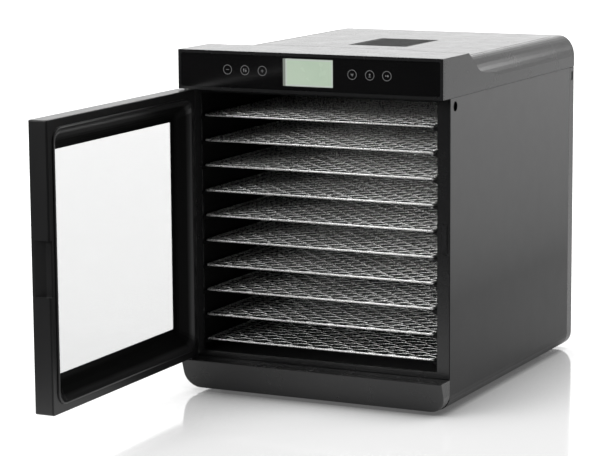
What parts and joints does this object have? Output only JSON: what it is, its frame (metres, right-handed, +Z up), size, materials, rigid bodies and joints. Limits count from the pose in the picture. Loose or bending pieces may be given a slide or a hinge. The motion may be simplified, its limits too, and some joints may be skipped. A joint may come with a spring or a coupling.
{
  "type": "food dehydrator",
  "caption": "Upright cabinet food dehydrator with sliding wire trays, a side-hinged glass door and a touch control head, a fan and ring heater behind the trays.",
  "frame": {"origin": "centre of the whole object's outline seen from above, with the door open at rest, at the height of the undersides of the feet", "axes": "+X runs across the front from the door's hinge side to the other side, +Y runs back from the front into the depth, +Z is up"},
  "size_m": [0.3488, 0.7532, 0.4145],
  "materials": {
    "shell_metal": "satin black powder coat",
    "body_plastic": "satin black moulding",
    "door_plastic": "satin black moulding",
    "panel_glass": "gloss black panel",
    "display": "pale grey-green display window",
    "door_glass": "clear pane",
    "black_plastic": "matt black moulding",
    "rail_plastic": "matt black moulding",
    "tray_steel": "bright wire",
    "foot_rubber": "matt",
    "liner_metal": "dark coated sheet",
    "circuit_board": "green board",
    "heater_metal": "dark oxidised tube",
    "fan_metal": "bright sheet",
    "motor_metal": "zinc-plated steel",
    "latch_metal": "dark coated",
    "pin_steel": "bright steel"
  },
  "bodies": {
    "cabinet": {"air_baffle": "liner_metal", "bracket_post_left": "motor_metal", "bracket_post_right": "motor_metal", "cabinet_shell": "shell_metal", "chamber_ceiling": "liner_metal", "chamber_floor": "liner_metal", "chin": "body_plastic", "control_bezel": "body_plastic", "control_glass": "panel_glass", "display": "display", "fan_motor": "motor_metal", "foot_front_left": "foot_rubber", "foot_front_right": "foot_rubber", "foot_rear_left": "foot_rubber", "foot_rear_right": "foot_rubber", "front_frame": "body_plastic", "heater_ring": "heater_metal", "inlet_contact_1": "pin_steel", "inlet_contact_2": "pin_steel", "inlet_contact_3": "pin_steel", "motor_bracket": "motor_metal", "power_board": "circuit_board", "power_inlet": "black_plastic", "rear_cover": "body_plastic", "rear_intake_grille": "black_plastic", "rear_screw_1": "pin_steel", "rear_screw_2": "pin_steel", "rear_screw_3": "pin_steel", "rear_screw_4": "pin_steel", "side_plug_left": "black_plastic", "side_plug_right": "black_plastic", "strike_plate": "latch_metal", "temperature_probe": "pin_steel", "top_cover": "body_plastic", "top_vent_grille": "black_plastic", "touch_board": "circuit_board", "tray_rails_left": "rail_plastic", "tray_rails_right": "rail_plastic", "underhead_plate": "body_plastic"},
    "door": {"door_frame": "door_plastic", "door_inner_frame": "door_plastic", "door_glass": "door_glass", "door_magnet": "latch_metal", "hinge_pin_lower": "pin_steel", "hinge_pin_upper": "pin_steel"},
    "fan": {"fan_impeller": "fan_metal", "motor_shaft": "pin_steel"},
    "tray_01": {"tray_01": "tray_steel"},
    "tray_02": {"tray_02": "tray_steel"},
    "tray_03": {"tray_03": "tray_steel"},
    "tray_04": {"tray_04": "tray_steel"},
    "tray_05": {"tray_05": "tray_steel"},
    "tray_06": {"tray_06": "tray_steel"},
    "tray_07": {"tray_07": "tray_steel"},
    "tray_08": {"tray_08": "tray_steel"},
    "tray_09": {"tray_09": "tray_steel"},
    "tray_10": {"tray_10": "tray_steel"}
  },
  "joints": [
    {"name": "door_hinge", "type": "hinge", "parent": "cabinet", "child": "door", "pos_m": [-0.16107, -0.04292, 0.2044], "axis": [0, 0, -1], "range_deg": [-89.1, 30.9]},
    {"name": "fan_spin", "type": "hinge", "parent": "cabinet", "child": "fan", "pos_m": [0.00443, 0.31008, 0.205], "axis": [0, 1, 0], "continuous": true},
    {"name": "tray_01_slide", "type": "slide", "parent": "cabinet", "child": "tray_01", "axis": [0, -1, 0], "range_m": [0, 0.33]},
    {"name": "tray_02_slide", "type": "slide", "parent": "cabinet", "child": "tray_02", "axis": [0, -1, 0], "range_m": [0, 0.33]},
    {"name": "tray_03_slide", "type": "slide", "parent": "cabinet", "child": "tray_03", "axis": [0, -1, 0], "range_m": [0, 0.33]},
    {"name": "tray_04_slide", "type": "slide", "parent": "cabinet", "child": "tray_04", "axis": [0, -1, 0], "range_m": [0, 0.33]},
    {"name": "tray_05_slide", "type": "slide", "parent": "cabinet", "child": "tray_05", "axis": [0, -1, 0], "range_m": [0, 0.33]},
    {"name": "tray_06_slide", "type": "slide", "parent": "cabinet", "child": "tray_06", "axis": [0, -1, 0], "range_m": [0, 0.33]},
    {"name": "tray_07_slide", "type": "slide", "parent": "cabinet", "child": "tray_07", "axis": [0, -1, 0], "range_m": [0, 0.33]},
    {"name": "tray_08_slide", "type": "slide", "parent": "cabinet", "child": "tray_08", "axis": [0, -1, 0], "range_m": [0, 0.33]},
    {"name": "tray_09_slide", "type": "slide", "parent": "cabinet", "child": "tray_09", "axis": [0, -1, 0], "range_m": [0, 0.33]},
    {"name": "tray_10_slide", "type": "slide", "parent": "cabinet", "child": "tray_10", "axis": [0, -1, 0], "range_m": [0, 0.33]}
  ]
}
